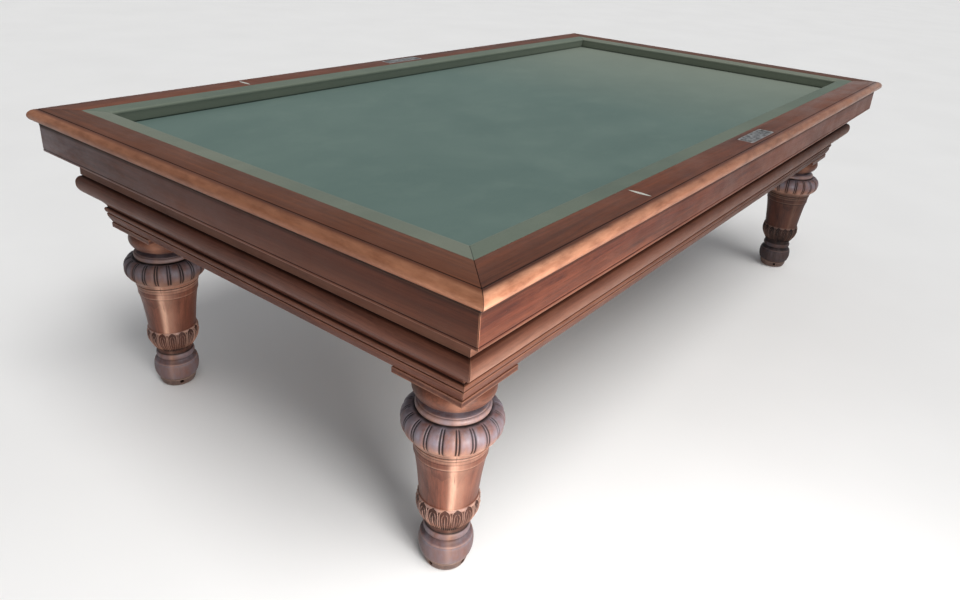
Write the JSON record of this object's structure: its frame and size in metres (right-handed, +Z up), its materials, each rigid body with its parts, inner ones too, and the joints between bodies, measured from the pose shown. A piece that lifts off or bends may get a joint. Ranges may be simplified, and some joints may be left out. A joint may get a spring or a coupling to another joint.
{
  "type": "carom billiard table",
  "caption": "Full-height carom billiard table without pockets: slate bed under cloth, cushioned wooden rails, moulded frame, carved turned legs on screw-adjustable feet.",
  "frame": {"origin": "on the floor under the middle of the table", "axes": "+X along the length of the table, +Y across it, +Z up"},
  "size_m": [2.584, 1.434, 0.788],
  "materials": {
    "rail_wood": "polished red-brown hardwood, worn",
    "apron_wood": "polished dark red-brown hardwood",
    "leg_wood": "polished brown hardwood with dark wax in the recesses",
    "beam_wood": "unfinished softwood",
    "cloth": "fulled wool cloth",
    "cushion_rubber": "matt black rubber",
    "slate": "ground slate",
    "steel": "dull turned steel",
    "brass": "dull brass",
    "pearl": "polished shell inlay",
    "plate_metal": "tarnished plate"
  },
  "bodies": {
    "table": {"rail_cap_front": "rail_wood", "fascia_front": "rail_wood", "apron_front": "apron_wood", "cushion_rubber_front": "cushion_rubber", "cushion_cloth_front": "cloth", "rail_cap_back": "rail_wood", "fascia_back": "rail_wood", "apron_back": "apron_wood", "cushion_rubber_back": "cushion_rubber", "cushion_cloth_back": "cloth", "rail_cap_left": "rail_wood", "fascia_left": "rail_wood", "apron_left": "apron_wood", "cushion_rubber_left": "cushion_rubber", "cushion_cloth_left": "cloth", "rail_cap_right": "rail_wood", "fascia_right": "rail_wood", "apron_right": "apron_wood", "cushion_rubber_right": "cushion_rubber", "cushion_cloth_right": "cloth", "sight_front": "pearl", "sight_back": "pearl", "plate_front": "plate_metal", "plate_back": "plate_metal", "slate_left": "slate", "slate_middle": "slate", "slate_right": "slate", "bed_cloth": "cloth", "cross_beam_left": "beam_wood", "cross_beam_middle": "beam_wood", "cross_beam_right": "beam_wood", "corner_block_front_left": "beam_wood", "leg_capital_front_left": "leg_wood", "leg_front_left": "leg_wood", "threaded_bush_front_left": "brass", "corner_block_front_right": "beam_wood", "leg_capital_front_right": "leg_wood", "leg_front_right": "leg_wood", "threaded_bush_front_right": "brass", "corner_block_back_left": "beam_wood", "leg_capital_back_left": "leg_wood", "leg_back_left": "leg_wood", "threaded_bush_back_left": "brass", "corner_block_back_right": "beam_wood", "leg_capital_back_right": "leg_wood", "leg_back_right": "leg_wood", "threaded_bush_back_right": "brass"},
    "glide_front_left": {"glide_pad_front_left": "steel"},
    "foot_front_left": {"levelling_foot_front_left": "leg_wood", "levelling_screw_front_left": "steel"},
    "glide_front_right": {"glide_pad_front_right": "steel"},
    "foot_front_right": {"levelling_foot_front_right": "leg_wood", "levelling_screw_front_right": "steel"},
    "glide_back_left": {"glide_pad_back_left": "steel"},
    "foot_back_left": {"levelling_foot_back_left": "leg_wood", "levelling_screw_back_left": "steel"},
    "glide_back_right": {"glide_pad_back_right": "steel"},
    "foot_back_right": {"levelling_foot_back_right": "leg_wood", "levelling_screw_back_right": "steel"}
  },
  "joints": [
    {"name": "foot_lift_front_left", "type": "slide", "parent": "table", "child": "glide_front_left", "axis": [0, 0, -1], "range_m": [0, 0.015]},
    {"name": "foot_turn_front_left", "type": "hinge", "parent": "glide_front_left", "child": "foot_front_left", "pos_m": [-1.0865, -0.5115, 0.013], "axis": [0, 0, -1], "range_deg": [0, 1800]},
    {"name": "foot_lift_front_right", "type": "slide", "parent": "table", "child": "glide_front_right", "axis": [0, 0, -1], "range_m": [0, 0.015]},
    {"name": "foot_turn_front_right", "type": "hinge", "parent": "glide_front_right", "child": "foot_front_right", "pos_m": [1.0865, -0.5115, 0.013], "axis": [0, 0, -1], "range_deg": [0, 1800]},
    {"name": "foot_lift_back_left", "type": "slide", "parent": "table", "child": "glide_back_left", "axis": [0, 0, -1], "range_m": [0, 0.015]},
    {"name": "foot_turn_back_left", "type": "hinge", "parent": "glide_back_left", "child": "foot_back_left", "pos_m": [-1.0865, 0.5115, 0.013], "axis": [0, 0, -1], "range_deg": [0, 1800]},
    {"name": "foot_lift_back_right", "type": "slide", "parent": "table", "child": "glide_back_right", "axis": [0, 0, -1], "range_m": [0, 0.015]},
    {"name": "foot_turn_back_right", "type": "hinge", "parent": "glide_back_right", "child": "foot_back_right", "pos_m": [1.0865, 0.5115, 0.013], "axis": [0, 0, -1], "range_deg": [0, 1800]}
  ],
  "couplings": [
    {"joint": "foot_lift_front_left", "follows": "foot_turn_front_left", "m_per_rad": 0.0004774},
    {"joint": "foot_lift_front_right", "follows": "foot_turn_front_right", "m_per_rad": 0.0004774},
    {"joint": "foot_lift_back_left", "follows": "foot_turn_back_left", "m_per_rad": 0.0004774},
    {"joint": "foot_lift_back_right", "follows": "foot_turn_back_right", "m_per_rad": 0.0004774}
  ]
}
